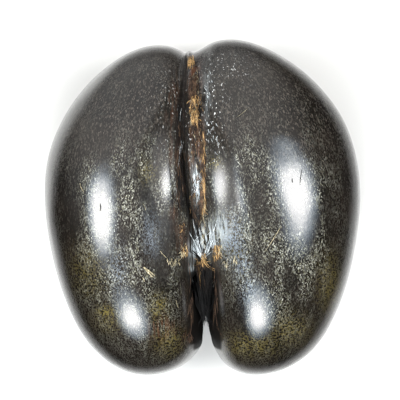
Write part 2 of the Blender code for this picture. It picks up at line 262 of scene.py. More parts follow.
# Husk fibres: how much they turn from the seam and bend, how their lengths and radii vary, how they taper.
# Each kind has its colours, its patches (column, row, half width, half height, count, length, radius, lift),
# its single fibres (first pixel, last pixel, radius, lift) and its fans (column, row, first and last turn,
# count, nearest, farthest, radius, lift), with radius and lift in micrometres
SEED = 20
HUSK_TURN = 0.28
HUSK_BEND = 0.13
STRAIGHT_LENGTH = 7.0
HUSK_LENGTHS = (0.5, 1.3)
HUSK_RADII = (0.6, 1.2)
HUSK_ROUGHNESS = 0.65
FAN_STARTS = (0.5, 2.0)
FAN_LENGTHS = (0.4, 1.0)
FAN_LEAST = 3.0
LAID_STEPS = 6
SINGLE_STEPS = 8
LEAST_POINTS = 3
FIBRE_SEAT = 0.6
TAPER = 0.7
TAPER_POWER = 3
MICRONS = 1e6
HUSK = (
    ("husk_golden", ((0.055, 0.028, 0.009), (0.44, 0.28, 0.12)), (
        (190.5, 60, 2.5, 5, 44, 6, 220, 500), (194.5, 107, 3.6, 13, 92, 6, 220, 700),
        (203.5, 170, 1.2, 42, 60, 12, 180, 400), (204, 256, 2, 5, 36, 5, 200, 600),
        (217, 251, 3.2, 7, 80, 4.5, 200, 500), (184.5, 249, 3, 5.5, 24, 5, 200, 600),
        (181, 227, 2.5, 5, 8, 4, 180, 500), (196, 150, 6, 60, 26, 6, 140, 400),
    ), (
        ((206, 264), (197, 283), 300, 1500), ((204, 262), (214, 272), 300, 1200),
        ((194, 258), (204, 264), 220, 1000), ((206, 262), (216, 268), 240, 1200),
    ), (
        (203, 261, -1.3, 1.4, 18, 1, 12, 180, 800),
    )),
    ("husk_brown", ((0.01, 0.006, 0.005), (0.095, 0.056, 0.032)), (
        (193, 82, 4, 10, 90, 8, 180, 400), (197, 135, 5, 16, 120, 9, 180, 400),
        (203, 165, 1.4, 40, 110, 12, 180, 400), (197, 185, 5, 34, 110, 12, 150, 400),
        (201, 196, 2, 7, 36, 6, 200, 600), (180.5, 150, 4.5, 44, 44, 18, 140, 300),
        (181, 230, 2.5, 6, 20, 6, 180, 400), (190.5, 295, 2.2, 22, 14, 18, 150, 600),
        (216, 298, 1.6, 20, 22, 18, 150, 600), (190, 336, 2.5, 4, 16, 5, 180, 400),
    ), (
        ((188, 262), (192, 276), 220, 800), ((215, 268), (214, 300), 220, 800),
        ((214, 286), (217, 318), 260, 800),
    ), (
        (203, 263, -0.9, 0.9, 26, 1, 12, 160, 800),
    )),
    ("husk_cream", ((0.12, 0.1, 0.06), (0.44, 0.38, 0.25)), (
        (173, 261, 6, 3.5, 22, 4, 200, 600), (184, 247, 3, 6, 8, 4, 180, 600),
        (236, 258, 4.5, 4, 14, 3.5, 180, 400), (226, 262, 2.5, 4, 10, 4, 180, 400),
        (204, 222, 1.5, 24, 30, 7, 160, 400), (219, 250, 3, 6, 14, 4, 180, 600),
        (193, 100, 4.5, 34, 26, 4, 140, 600), (199, 160, 4, 36, 16, 4, 130, 400),
    ), (
        ((143, 267), (152, 279), 500, 800), ((144, 267), (154, 277), 550, 900),
        ((146, 269), (153, 276), 500, 1000), ((80, 183), (84, 192), 260, 600),
        ((142, 277), (144, 282), 250, 600), ((281, 226), (267, 251), 240, 1000),
        ((160, 251), (166, 259), 200, 800), ((143, 204), (146, 211), 160, 400),
        ((236, 118), (249, 108), 100, 300), ((176, 300), (178, 308), 140, 400),
    ), (
        (184, 250, -1.2, 0.6, 10, 2, 10, 160, 600),
    )),
    ("husk_pale", ((0.16, 0.175, 0.18), (0.7, 0.74, 0.74)), (
        (201, 238, 2.5, 12, 34, 8, 160, 300), (212, 235, 3, 8, 14, 8, 150, 300),
        (197, 181, 2.6, 11, 60, 8, 160, 300), (181, 120, 1, 30, 4, 20, 100, 300),
        (208, 105, 4, 42, 16, 3.5, 180, 300), (213, 135, 6, 20, 12, 4, 130, 300),
    ), (
        ((202, 301), (215, 306), 180, 1200), ((218, 218), (205, 258), 240, 500),
        ((212, 232), (206, 256), 220, 500), ((189, 232), (203, 262), 180, 500),
        ((190, 206), (201, 248), 180, 400), ((194, 240), (203, 258), 300, 400),
    ), (
        (203, 261, 2.45, 3.75, 26, 2, 18, 170, 400), (203, 262, 2.6, 3.6, 16, 10, 28, 160, 400),
    )),
    ("husk_dark", ((0.0018, 0.0015, 0.0013), (0.007, 0.0055, 0.0045)), (
        (187.3, 150, 0.8, 62, 44, 24, 220, 300), (196.5, 160, 5, 55, 60, 15, 150, 500),
        (181, 155, 4, 50, 36, 20, 200, 400), (200, 215, 4, 16, 34, 12, 180, 500),
        (203, 266.5, 8.5, 1.6, 60, 6, 180, 600),
    ), (
        ((100, 203), (102, 211), 400, 200), ((292, 178), (292, 183), 340, 200),
        ((187, 192), (200, 246), 300, 300), ((191, 204), (203, 256), 340, 400),
        ((195, 206), (204, 254), 260, 400), ((206, 222), (204, 256), 260, 400),
        ((302, 169), (299, 185), 260, 200),
    ), (
        (203, 262, 2.2, 4.1, 40, 3, 24, 160, 500), (203, 264, -1.4, 1.4, 60, 1, 9, 180, 800),
    )),
)

# Strands draped over the cleft's top, counted for each kind of husk fibre: their roots in pixels, then how
# far they reach, fall, lean and arch, in metres
DRAPES = {"husk_dark": 80, "husk_brown": 8, "husk_golden": 3}
DRAPE_COLUMNS = (195.0, 212.5)
DRAPE_ROWS = (262.0, 268.5)
DRAPE_LENGTH = (0.010, 0.030)
DRAPE_FALL = (0.004, 0.016)
DRAPE_LEAN = (0.1, 0.8)
DRAPE_STRAY = 0.001
DRAPE_SEAT = 0.0003
DRAPE_ARCH = 0.0012
DRAPE_CURL = 2.2
DRAPE_THINNESS = 0.7

# Bristles inside the cleft, in metres: where they start and end, how they crowd, the room the walls leave
# them (at least, gap), and how they gather, stray, wave and sag
CLEFT_MOUTH = -0.0945
BRISTLE_COUNT = 420
BRISTLE_STEPS = 9
BRISTLE_ROOTS = (-0.0515, -0.088)
BRISTLE_LEVELS = (0.022, 0.132)
BRISTLE_TIPS = (-0.084, -0.0995)
BRISTLE_RISE = (0.001, 0.010)
BRISTLE_RADIUS = (0.00022, 0.00042)
BRISTLE_COLOURS = ((0.0006, 0.0006, 0.0006), (0.0048, 0.0042, 0.0038))
BRISTLE_ROUGHNESS = 0.6
ROOT_CROWDING = 1.6
LEVEL_CROWDING = 0.8
ROOT_ROOM = (0.001, 0.0004)
BRISTLE_ROOM = (0.0012, 0.0006)
MOUTH_ROOM = 0.006
BRISTLE_GATHER = 0.75
BRISTLE_STRAY = 0.0016
BRISTLE_WAVE = 0.0005
BRISTLE_BENDS = 5
BRISTLE_SAG = 0.004

# A fibre's surface: its grain and patches in metres, the ranges over which they show, its gloss and its bump
FIBRE_STRETCH = (1.0, 0.12, 1.0)
FIBRE_GRAIN = 0.0012
FIBRE_PATCH = 0.006
FIBRE_SHOWS = (0.35, 0.65)
PATCH_SHOWS = (0.3, 0.65, 0.35, 1.0)
FIBRE_SPECULAR = 0.12
ROUGHNESS_SHOWS = (0.3, 0.7)
ROUGHNESS_SPREAD = 0.1
FIBRE_BUMP = (0.4, 0.0002)

# The stage: the floor's radii in metres, the lights' fading (share of the way from core to rim, share of the
# radiance, colour), the lights (name, place, size, roll, radiance, even core, whether the shell reflects it)
# and the sky
FLOOR_LEVEL = -0.0002
FLOOR_GRAIN = 0.05
FLOOR_TONES = ((0.372, 0.362, 0.346), (0.382, 0.372, 0.356))
FLOOR_ROUGHNESS = 0.9
FLOOR_SPECULAR = 0.1
FLOOR_AZIMUTHS = (0, 60, 90, 115, 140, 160, 180, 225, 270, 315, 360)
FLOOR_REACHES = (0.255, 0.26, 0.26, 0.30, 0.48, 0.36, 0.265, 0.265, 0.26, 0.255, 0.255)
FLOOR_TEETH = 0.28
FAR_RADIUS = 6.0
FLOOR_SIDES = 1440
FLOOR_HOLE = 0.001
LIGHT_TARGET = (0.0, 0.0, 0.14)
LIGHT_MIDDLE = (0.5, 0.5, 0.0)
WHITE = (1.0, 1.0, 1.0)
SOFT_BLUE = (0.74, 0.88, 1.0)
BLUISH = (0.62, 0.80, 1.0)
LIGHT_FALL = ((0.0, 1.0, WHITE), (0.33, 0.36, SOFT_BLUE), (0.66, 0.11, BLUISH), (1.0, 0.0, BLUISH))
LIGHTS = (
    ("left_softbox", (-0.81, 0.02, 1.17), (0.80, 1.28), -8.0, 26.5, 0.40, True),
    ("right_softbox", (0.89, 0.07, 1.11), (0.86, 1.50), -20.0, 26.5, 0.40, True),
    ("low_softbox", (-0.13, -0.63, 0.71), (0.88, 0.80), 0.0, 26.5, 0.28, True),
    ("overhead", (0.0, 0.0, 2.0), (3.2, 3.2), 0.0, 2.6, 1.0, False),
)
SKY_TOWARD = (-0.25, 0.78, 0.57)
SKY_SPAN = (0.1, 1.0)
SKY_TONES = ((0.0, (0.020, 0.021, 0.023)), (1.0, (1.38, 1.39, 1.40)))


def blend(values, u):
    """A Bezier blend of the values: the first at u = 0, the last at u = 1."""
    degree = len(values) - 1
    return sum(
        value * math.comb(degree, index) * (1 - u) ** (degree - index) * u ** index
        for index, value in enumerate(values)
    )


def between(low, high, share):
    """The value at this share of the way from low to high."""
    return low + (high - low) * share


def smooth_step(low, high, value):
    """0 below low, 1 above high, and a soft step between."""
    share = np.clip((value - low) / (high - low), 0.0, 1.0)
    return share * share * (3 - 2 * share)


def ring_size(u):
    """Size of the ring at station u of a body that is round at both ends."""
    return np.sqrt(np.maximum(0.0, 1 - (2 * u - 1) ** 2))


def across_lobe(lobe, u, angle):
    """Distance of a lobe's skin from the seam at station u; angle 0 is outward, a quarter turn the front."""
    outer = blend(lobe["outer"], u)
    inner = blend(lobe["inner"], u)
    reach = (outer + inner) / 2 + (outer - inner) / 2 * np.cos(angle)
    full = 1 + FULLNESS * np.sin(2 * angle) ** 2
    return blend(lobe["crown"], u) + ring_size(u) * np.cos(angle) * reach * full


def lobe_height(lobe, u, angle):
    """Height of a lobe's skin over the ground at station u and this angle."""
    front = blend(lobe["front"], u)
    back = blend(lobe["back"], u)
    rise = (front + back) / 2 + (front - back) / 2 * np.sin(angle)
    full = 1 + FULLNESS * np.sin(2 * angle) ** 2
    return WIDEST_Z + ring_size(u) * np.sin(angle) * rise * full


def front_height(x, y):
    """Heights of the lobes' front skin over points (x, y), or the widest level where no lobe is."""
    best = np.full_like(x, WIDEST_Z)
    for lobe in LOBES:
        low_end, high_end = lobe["ends"]
        u = np.clip((y - low_end) / (high_end - low_end), 0.0, 1.0)
        target = (x - SEAM_X) * lobe["side"]
        inside = (across_lobe(lobe, u, np.pi) < target) & (target < across_lobe(lobe, u, 0.0))
        low = np.zeros_like(x)
        high = np.full_like(x, np.pi)
        for _ in range(HALVINGS):
            middle = (low + high) / 2
            nearer = across_lobe(lobe, u, middle) > target
            low = np.where(nearer, middle, low)
            high = np.where(nearer, high, middle)
        best = np.where(inside, np.maximum(best, lobe_height(lobe, u, low)), best)
    return best


def link(name, data):
    """Put a mesh or curve into the scene as an object."""
    item = bpy.data.objects.new(name, data)
    bpy.context.scene.collection.objects.link(item)
    return item


def rows_of(items, name, kind=float, width=3):
    """A property of a mesh's items as rows of an array."""
    values = np.empty(len(items) * width, dtype=kind)
    items.foreach_get(name, values)
    return values.reshape(-1, width)


def set_points(mesh, points):
    """Move a mesh's vertices."""
    mesh.vertices.foreach_set("co", points.ravel())
    mesh.update()


@contextmanager
def reshaping(mesh):
    """A mesh open to be reshaped, and written back at the end."""
    shape = bmesh.new()
    shape.from_mesh(mesh)
    yield shape
    shape.to_mesh(mesh)
    shape.free()


def sphere_mesh(name, rings, points, place):
    """A sphere with its poles on the Y axis, moved to the positions that place gives for its directions."""
    mesh = bpy.data.meshes.new(name)
    with reshaping(mesh) as shape:
        bmesh.ops.create_uvsphere(shape, u_segments=points, v_segments=rings, radius=1.0)
        bmesh.ops.rotate(shape, verts=shape.verts, matrix=Matrix.Rotation(-math.pi / 2, 3, "X"))
    set_points(mesh, place(rows_of(mesh.vertices, "co")))
    with reshaping(mesh) as shape:
        bmesh.ops.recalc_face_normals(shape, faces=shape.faces)
    return mesh


def lobe_mesh(lobe):
    """One lobe as a closed skin, with its points crowded towards the seam's side of the front."""
    def place(directions):
        u = (directions[:, 1] + 1) / 2
        angle = np.arctan2(directions[:, 2], directions[:, 0])
        angle = angle - CROWDING * np.sin(angle - CROWDED_ANGLE)
        x = SEAM_X + lobe["side"] * across_lobe(lobe, u, angle)
        y = between(*lobe["ends"], u)
        return np.column_stack((x, y, lobe_height(lobe, u, angle)))

    return sphere_mesh("lobe", LOBE_RINGS, LOBE_POINTS, place)


def ridge_spine(share):
    """Points of the ridge's middle line, along the line where the lobes meet."""
    y = between(*RIDGE_ENDS, np.sin(share * np.pi / 2))
    x = blend(RIDGE_LINE, share)
    return np.column_stack((x, y, front_height(x, y) + blend(RIDGE_LIFT, share)))


def ridge_mesh():
    """The rounded ridge along the seam."""
    def place(directions):
        share = (directions[:, 1] + 1) / 2
        step = 0.01
        along = ridge_spine(np.minimum(1.0, share + step)) - ridge_spine(np.maximum(0.0, share - step))
        out = np.cross((1.0, 0.0, 0.0), along)
        out /= np.linalg.norm(out, axis=1, keepdims=True)
        width = blend(RIDGE_HALF_WIDTH, share)
        height = blend(RIDGE_HALF_HEIGHT, share)
        skin = ridge_spine(share) + out * (directions[:, 2] * height)[:, None]
        skin[:, 0] += directions[:, 0] * width
        return skin

    return sphere_mesh("ridge", RIDGE_RINGS, RIDGE_POINTS, place)


def curve_mesh(curve):
    """A curve's surface as a closed mesh, with its caps welded on."""
    item = link("curve", curve)
    graph = bpy.context.evaluated_depsgraph_get()
    mesh = bpy.data.meshes.new_from_object(item.evaluated_get(graph))
    bpy.data.objects.remove(item)
    with reshaping(mesh) as shape:
        bmesh.ops.remove_doubles(shape, verts=shape.verts, dist=WELD)
        bmesh.ops.recalc_face_normals(shape, faces=shape.faces)
    return mesh


def cleft_mesh():
    """The cleft's outline as a slab through the nut, with its walls cut into low levels."""
    shares = [step / CLEFT_STEPS for step in range(CLEFT_STEPS + 1)]
    right = [(CLEFT_X + blend(CLEFT_HALF_WIDTH, s), blend(CLEFT_ALONG, s)) for s in shares]
    left = [(2 * CLEFT_X - x, y) for x, y in right[:0:-1]]
    outline = right + left
    curve = bpy.data.curves.new("cleft", "CURVE")
    curve.dimensions = "2D"
    curve.fill_mode = "BOTH"
    curve.extrude = CLEFT_DEPTH / 2
    spline = curve.splines.new("POLY")
    spline.points.add(len(outline) - 1)
    spline.use_cyclic_u = True
    for point, (x, y) in zip(spline.points, outline):
        point.co = (x, y, 0.0, 1.0)
    mesh = curve_mesh(curve)
    with reshaping(mesh) as shape:
        upright = [
            edge for edge in shape.edges
            if abs(edge.verts[0].co.z - edge.verts[1].co.z) > CLEFT_DEPTH / 2
        ]
        bmesh.ops.subdivide_edges(shape, edges=upright, cuts=CLEFT_LEVELS, use_grid_fill=True)
        bmesh.ops.translate(shape, verts=shape.verts, vec=(0.0, 0.0, WIDEST_Z))
    return mesh


def use_boolean(item, operation, other):
    """Join or cut an object with another, apply it, and remove the other."""
    modifier = item.modifiers.new(operation.lower(), "BOOLEAN")
    modifier.operation = operation
    modifier.solver = "MANIFOLD"
    modifier.object = other
    graph = bpy.context.evaluated_depsgraph_get()
    graph.update()
    mesh = bpy.data.meshes.new_from_object(item.evaluated_get(graph))
    item.modifiers.clear()
    item.data = mesh
    bpy.data.objects.remove(other)


def grow_shell():
    """Both lobes and the ridge as one skin, with the cleft cut."""
    shell = link("polished_nut", lobe_mesh(LEFT_LOBE))
    use_boolean(shell, "UNION", link("right_lobe", lobe_mesh(RIGHT_LOBE)))
    use_boolean(shell, "UNION", link("ridge", ridge_mesh()))
    use_boolean(shell, "DIFFERENCE", link("cleft", cleft_mesh()))
    return shell


def photo_frame():
    """The photograph's right and up directions and the camera's place, as arrays."""
    right = np.array((math.cos(CAMERA_TURN), -math.sin(CAMERA_TURN), 0.0))
    up = np.array((math.sin(CAMERA_TURN), math.cos(CAMERA_TURN), 0.0))
    return right, up, np.array((*CAMERA_AIM, WIDEST_Z + CAMERA_HEIGHT))


def photo_pixels(points):
    """Where the camera sees each point, in the photograph's pixels."""
    right, up, eye = photo_frame()
    offset = points - eye
    scale = CAMERA_HEIGHT / -offset[:, 2] / METRES_PER_PIXEL
    column = PHOTO_SIDE / 2 + offset @ right * scale
    return np.column_stack((column, PHOTO_SIDE / 2 - offset @ up * scale))


def sight(pixel):
    """The camera's place and its direction of view through a pixel."""
    right, up, eye = photo_frame()
    column = (pixel[0] - PHOTO_SIDE / 2) * METRES_PER_PIXEL
    row = (PHOTO_SIDE / 2 - pixel[1]) * METRES_PER_PIXEL
    toward = right * column + up * row
    toward[2] = -CAMERA_HEIGHT
    return Vector(eye), Vector(toward).normalized()


def sharp_points(mesh):
    """Positions of the vertices on a mesh's sharp edges."""
    shape = bmesh.new()
    shape.from_mesh(mesh)
    found = {
        vertex.index: tuple(vertex.co)
        for edge in shape.edges if edge.calc_face_angle(0.0) > SHARP_ANGLE
        for vertex in edge.verts
    }
    shape.free()
    return np.array(list(found.values()))


def closeness(points, marks, reach):
    """1 at the marks, fading to 0 over this reach."""
    tree = KDTree(len(marks))
    for index, mark in enumerate(marks):
        tree.insert(mark, index)
    tree.balance()
    distance = np.array([tree.find(point)[2] for point in points])
    return np.exp(-((distance / reach) ** 2))


def soften(points, edges, weight, rounds):
    """Points drawn towards the middle of their neighbours, each as strongly as its weight."""
    first, second = edges.T
    count = np.bincount(edges.ravel(), minlength=len(points))
    for _ in range(rounds):
        near = np.column_stack([
            np.bincount(first, points[second, axis], len(points))
            + np.bincount(second, points[first, axis], len(points))
            for axis in range(3)
        ])
        points = points + (near / count[:, None] - points) * weight[:, None]
    return points


def round_edges(shell):
    """Soften the cleft's rim, the ridge's sides, the notch and the seam at the back."""
    mesh = shell.data
    points = rows_of(mesh.vertices, "co")
    edges = rows_of(mesh.edges, "vertices", int, 2)
    marks = sharp_points(mesh)
    in_cleft = (marks[:, 1] < CLEFT_TOP) & (np.abs(marks[:, 0] - CLEFT_X) < CLEFT_REACH)
    column, row = photo_pixels(marks).T
    front = marks[:, 2] > WIDEST_Z
    beside = ~in_cleft & front & (column > np.interp(row, CREASE_ROWS, CREASE_COLUMNS) + RIDGE_MARGIN)
    creased = ~in_cleft & front & ~beside
    behind = ~in_cleft & ~front
    for chosen, (reach, rounds) in (
        (in_cleft, CLEFT_SOFTNESS),
        (beside, RIDGE_SOFTNESS),
        (creased, CREASE_SOFTNESS),
        (behind, BACK_SOFTNESS),
    ):
        if chosen.any():
            points = soften(points, edges, closeness(points, marks[chosen], reach), rounds)
    high = smooth_step(WIDEST_Z - NOTCH_DEPTH, WIDEST_Z, points[:, 2])
    in_notch = spots(*photo_pixels(points).T, NOTCH_PLACES) * high
    set_points(mesh, soften(points, edges, in_notch, NOTCH_ROUNDS))


def noise_at(points, size, seed):
    """Smooth noise, about -1 to 1, with features of this size, over rows of points."""
    offset = Vector((seed, -2.0 * seed, 0.5 * seed))
    return np.array([noise.noise(Vector(point) / size + offset) for point in points])


def window(low, high, fade, value):
    """1 between low and high, fading to 0 over this distance beyond them."""
    return smooth_step(low - fade, low, value) * (1 - smooth_step(high, high + fade, value))


def groove(distance, width):
    """The shape of a groove: 1 on its line, fading to 0 at its sides."""
    return np.exp(-((distance / width) ** 2))


def carve_relief(shell):
    """The crease left of the ridge, the wrinkles beside it, the ridge's cords and the uneven skin."""
    mesh = shell.data
    points = rows_of(mesh.vertices, "co")
    normals = rows_of(mesh.vertex_normals, "vector")
    column, row = photo_pixels(points).T
    front = smooth_step(*RELIEF_TURN, normals[:, 2]) * (points[:, 2] > WIDEST_Z)
    wander = noise_at(points, *WANDER)
    away = {
        "crease": column - np.interp(row, CREASE_ROWS, CREASE_COLUMNS),
        "edge": column - np.interp(row, EDGE_ROWS, EDGE_COLUMNS),
    }
    depth = np.zeros_like(row)
    for line, offset, share, amount, width, span in GROOVES:
        depth += amount * groove(away[line] - offset - share * wander, width) * window(*span, row)
    on_ridge = smooth_step(*RIDGE_FADE, away["crease"]) * (1 - smooth_step(*RIDGE_FADE, away["edge"]))
    cords = np.cos(2 * np.pi * (away["crease"] + wander) / CORD_PERIOD)
    depth += CORD_DEPTH * cords * on_ridge * window(*CORD_SPAN, row)
    depth *= front
    for size, amount, seed in UNEVENNESS:
        depth += amount * noise_at(points, size, seed)
    points = points - normals * depth[:, None]
    points[:, 2] = np.maximum(points[:, 2], 0.0)
    set_points(mesh, points)


def lobe_grain(points, on_right, twist):
    """Coordinates round and along each lobe, in metres, twisted by this slope, for the grain of its skin."""
    rows = np.zeros_like(points)
    for lobe, chosen in ((LEFT_LOBE, ~on_right), (RIGHT_LOBE, on_right)):
        low_end, high_end = lobe["ends"]
        u = np.clip((points[:, 1] - low_end) / (high_end - low_end), 0.0, 1.0)
        away = (points[:, 0] - SEAM_X) * lobe["side"] - blend(lobe["crown"], u)
        angle = np.arctan2(points[:, 2] - WIDEST_Z, away)
        along = np.arcsin(2 * u - 1) * (high_end - low_end) / 2
        angle = angle + twist * along / GRAIN_GIRTH
        grain = np.column_stack((GRAIN_GIRTH * np.cos(angle), GRAIN_GIRTH * np.sin(angle), along))
        grain[:, 0] += lobe["side"]
        rows[chosen] = grain[chosen]
    return rows


def spots(column, row, places):
    """How strongly a pixel lies in any of the soft oval places."""
    best = np.zeros_like(column)
    for middle, level, half_width, half_height, strength in places:
        distance = ((column - middle) / half_width) ** 2 + ((row - level) / half_height) ** 2
        best = np.maximum(best, strength * np.exp(-distance))
    return best


def write_field(mesh, name, values):
    """Store one value or vector a vertex on a mesh."""
    kind = "FLOAT" if values.ndim == 1 else "FLOAT_VECTOR"
    field = mesh.attributes.new(name, kind, "POINT")
    field.data.foreach_set("value" if kind == "FLOAT" else "vector", values.ravel())


def mark_fields(shell):
    """Store the skin's grain and where it shows wear, colour, dullness, painted shade, painted sheen and
    glints, for its material.
    """
    mesh = shell.data
    points = rows_of(mesh.vertices, "co")
    normals = rows_of(mesh.vertex_normals, "vector")
    column, row = photo_pixels(points).T
    crease = np.interp(row, CREASE_ROWS, CREASE_COLUMNS)
    front = smooth_step(*FRONT_TURN, normals[:, 2])
    seam_x = np.where(points[:, 2] > WIDEST_Z, 0.0, points[:, 0] - SEAM_X)
    on_right = np.where(points[:, 2] > WIDEST_Z, column > crease, seam_x > 0)
    drift = noise_at(points, *FIELD_DRIFT)
    lower = smooth_step(*WORN_ROWS, row + WORN_DRIFT * drift)
    fade_start, fade_end, fade = WORN_FADE
    front_wear_and_shade = lower * (1 - (1 - fade) * smooth_step(fade_start, fade_end, row))
    # Painted shade: fewer flecks, so darker skin, on steep sides and in the shaded places
    level = between(STEEP_SHADE_SHARE, 1.0, smooth_step(*SHADE_STEEPNESS, normals[:, 2]))
    front_wear_and_shade = front_wear_and_shade * (1 - spots(column, row, PAINTED_SHADE_PLACES)) * level
    worn_back = WORN_BACK[0] + WORN_BACK[1] * drift
    fields = {name: lobe_grain(points, on_right, twist) for name, twist in GRAINS}
    fields["fine"] = between(FINE_ELSEWHERE, FINE_ABOVE, (1 - lower) * front)
    fields["wear_and_shade"] = np.clip(between(worn_back, front_wear_and_shade, front), 0.0, 1.0)
    for name, places in STAINS_AND_SHEEN.items():
        fields[name] = spots(column, row, places) * front
    fields["olive"] += (1 - front) * np.clip(drift, 0.0, 1.0)
    away = column - crease
    spread = np.interp(row, DULL_ROWS, DULL_SPREAD)
    beside = window(*DULL_SIDES, away / spread) * window(*DULL_SPAN, row) * front
    fields["dull"] = beside * (1 - spots(column, row, GLOSSY_PLACES))
    # Painted shade: the cleft's walls and mouth and the crease are marked for painting near black
    in_cleft = window(*CLEFT_SHADE_SIDES, column) * window(*CLEFT_SHADE_SPAN, row)
    inside = window(*CLEFT_INSIDE_SIDES, points[:, 0] - CLEFT_X) * window(*CLEFT_INSIDE_SPAN, points[:, 1])
    spread = np.interp(row, CREASE_SHADE_ROWS, CREASE_SHADE_SPREAD)
    creased = window(*CREASE_SHADE_SIDES, away / spread) * window(*CREASE_SHADE_SPAN, row) * front
    fields["cleft"] = np.maximum(np.maximum(in_cleft, CREASE_SHADE * creased) * front, inside)
    for name, values in fields.items():
        write_field(mesh, name, values)


class Nodes:
    """Short ways to add nodes to a material, a light or a sky, whose own shader node has this name."""

    def __init__(self, owner, shader="Principled BSDF"):
        owner.use_nodes = True
        self.tree = owner.node_tree
        self.shader = self.tree.nodes[shader]

    def add(self, kind, inputs=None, **settings):
        item = self.tree.nodes.new(kind)
        for key, value in settings.items():
            setattr(item, key, value)
        for name, value in (inputs or {}).items():
            self.feed(item.inputs[name], value)
        return item

    def feed(self, socket, value):
        if isinstance(value, bpy.types.NodeSocket):
            self.tree.links.new(value, socket)
        else:
            socket.default_value = value

    def set(self, name, value):
        self.feed(self.shader.inputs[name], value)

    def field(self, name, output="Fac"):
        return self.add("ShaderNodeAttribute", attribute_name=name).outputs[output]

    def place(self):
        return self.add("ShaderNodeTexCoord").outputs["Object"]

    def stretch(self, vector, scale):
        return self.add("ShaderNodeMapping", {"Vector": vector, "Scale": scale}).outputs["Vector"]

    def noise(self, vector, size, detail=2.0, rough=0.5):
        inputs = {"Vector": vector, "Scale": 1 / size, "Detail": detail, "Roughness": rough}
        return self.add("ShaderNodeTexNoise", inputs).outputs["Fac"]

    def noise_along(self, grain, drawn, *looks):
        return self.noise(self.stretch(grain, (1.0, 1.0, drawn)), *looks)

    def cells_along(self, grain, drawn, size):
        inputs = {"Vector": self.stretch(grain, (1.0, 1.0, drawn)), "Scale": 1 / size}
        return self.add("ShaderNodeTexVoronoi", inputs).outputs["Color"]

    def ramp(self, value, low, high, start=0.0, end=1.0):
        inputs = {"Value": value, "From Min": low, "From Max": high, "To Min": start, "To Max": end}
        return self.add("ShaderNodeMapRange", inputs, interpolation_type="SMOOTHSTEP").outputs["Result"]

    def math(self, operation, *values, kind="ShaderNodeMath"):
        return self.add(kind, dict(enumerate(values)), operation=operation).outputs["Value"]

    def times(self, *values):
        result = values[0]
        for value in values[1:]:
            result = self.math("MULTIPLY", result, value)
        return result

    def tint(self, share, first, second):
        item = self.add("ShaderNodeMix", data_type="RGBA")
        for name, value in (("Factor_Float", share), ("A_Color", first), ("B_Color", second)):
            socket = next(s for s in item.inputs if s.identifier == name)
            self.feed(socket, (*value, 1.0) if isinstance(value, tuple) else value)
        return next(s for s in item.outputs if s.identifier == "Result_Color")

    def bump(self, height, strength, distance, normal=None):
        inputs = {"Height": height, "Strength": strength, "Distance": distance}
        if normal is not None:
            inputs["Normal"] = normal
        return self.add("ShaderNodeBump", inputs).outputs["Normal"]

    def gradient(self, share, stops, blending="LINEAR"):
        item = self.add("ShaderNodeValToRGB", {"Fac": share})
        ramp = item.color_ramp
        ramp.interpolation = blending
        ramp.elements[0].position, ramp.elements[-1].position = stops[0][0], stops[-1][0]
        for position, _ in stops[1:-1]:
            ramp.elements.new(position)
        for element, (_, tone) in zip(ramp.elements, stops):
            element.color = (*tone, 1.0)
        return item.outputs["Color"]


